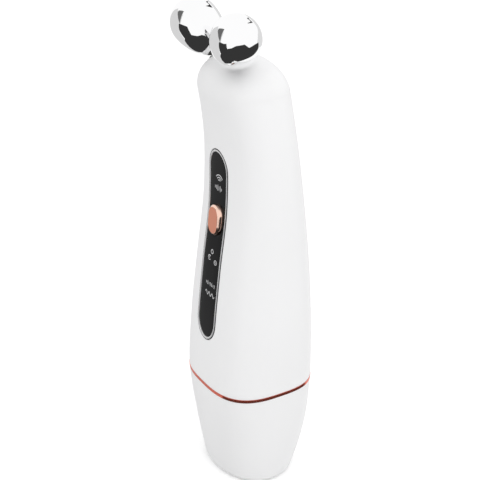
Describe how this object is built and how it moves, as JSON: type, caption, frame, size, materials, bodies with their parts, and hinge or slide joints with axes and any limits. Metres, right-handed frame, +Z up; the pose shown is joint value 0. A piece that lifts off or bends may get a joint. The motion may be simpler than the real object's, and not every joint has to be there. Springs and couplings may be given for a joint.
{
  "type": "facial toning device",
  "caption": "Hand-held facial toner: curved white casing, black control panel with a push button, and free-turning chromed rollers on a V-shaped head.",
  "frame": {"origin": "centre of the foot's underside, on the ground", "axes": "+Z up the length of the device, -Y towards the panel and button, +X towards the right roller"},
  "size_m": [0.0462, 0.0438, 0.1859],
  "materials": {
    "white_plastic": "satin",
    "copper_trim": "anodised, polished",
    "dark_rubber": "matte",
    "pale_rubber": "matte",
    "steel": "bright",
    "black_lens": "gloss",
    "tape": "matte",
    "silver_trim": "polished",
    "copper_plastic": "satin face, polished chamfer",
    "black_plastic": "matte",
    "red_plastic": "matte",
    "clear_plastic": "clear",
    "lamp": "clear dome on a white case",
    "board": "solder mask",
    "grey_plastic": "matte",
    "cell_wrap": "shrink wrapped",
    "red_wire": "insulated",
    "brass": "machined",
    "bronze": "sintered",
    "nylon": "smooth",
    "mirror_chrome": "mirror"
  },
  "bodies": {
    "housing": {"casing": "white_plastic", "base_cup": "white_plastic", "trim_ring": "copper_trim", "lip_seal": "dark_rubber", "foot_pad": "pale_rubber", "foot_screws": "steel", "panel": "black_lens", "panel_tape": "tape", "panel_bezel": "silver_trim", "push_switch": "black_plastic", "light_guides": "clear_plastic", "indicator_lights": "lamp", "circuit_board": "board", "board_screws": "steel", "chassis": "grey_plastic", "battery_cell": "cell_wrap", "battery_leads": "red_wire", "charge_board": "board", "charge_board_screws": "steel", "charge_socket": "steel", "socket_tongue": "black_plastic", "charge_leads": "red_wire", "vibration_motor": "steel", "motor_boot": "dark_rubber", "motor_clamp": "grey_plastic", "motor_leads": "red_wire", "electrode_leads": "red_wire", "left_insert": "brass", "left_axle": "steel", "left_clip": "steel", "left_washer": "nylon", "right_insert": "brass", "right_axle": "steel", "right_clip": "steel", "right_washer": "nylon"},
    "button": {"mode_button": "copper_plastic"},
    "plunger": {"switch_plunger": "red_plastic"},
    "left_roller": {"left_roller": "mirror_chrome", "left_core": "black_plastic", "left_bush": "bronze"},
    "right_roller": {"right_roller": "mirror_chrome", "right_core": "black_plastic", "right_bush": "bronze"},
    "rotor": {"motor_shaft": "steel", "eccentric_weight": "brass"}
  },
  "joints": [
    {"name": "button_press", "type": "slide", "parent": "housing", "child": "button", "axis": [0, 0.9962, -0.0872], "range_m": [0, 0.0005], "stiffness_N_per_m": 1000, "springref_m": -0.0008},
    {"name": "plunger_press", "type": "slide", "parent": "housing", "child": "plunger", "axis": [0, 0.9962, -0.0872], "range_m": [0, 0.0005]},
    {"name": "left_roller_spin", "type": "hinge", "parent": "housing", "child": "left_roller", "pos_m": [-0.0139, -0.0137, 0.1772], "axis": [-0.6361, -0.3788, 0.6723], "continuous": true},
    {"name": "right_roller_spin", "type": "hinge", "parent": "housing", "child": "right_roller", "pos_m": [0.0139, -0.0137, 0.1772], "axis": [0.6361, -0.3788, 0.6723], "continuous": true},
    {"name": "weight_spin", "type": "hinge", "parent": "housing", "child": "rotor", "pos_m": [0, 0, 0.143], "axis": [1, 0, 0], "continuous": true}
  ],
  "couplings": [
    {"joint": "plunger_press", "follows": "button_press", "ratio": 1}
  ]
}
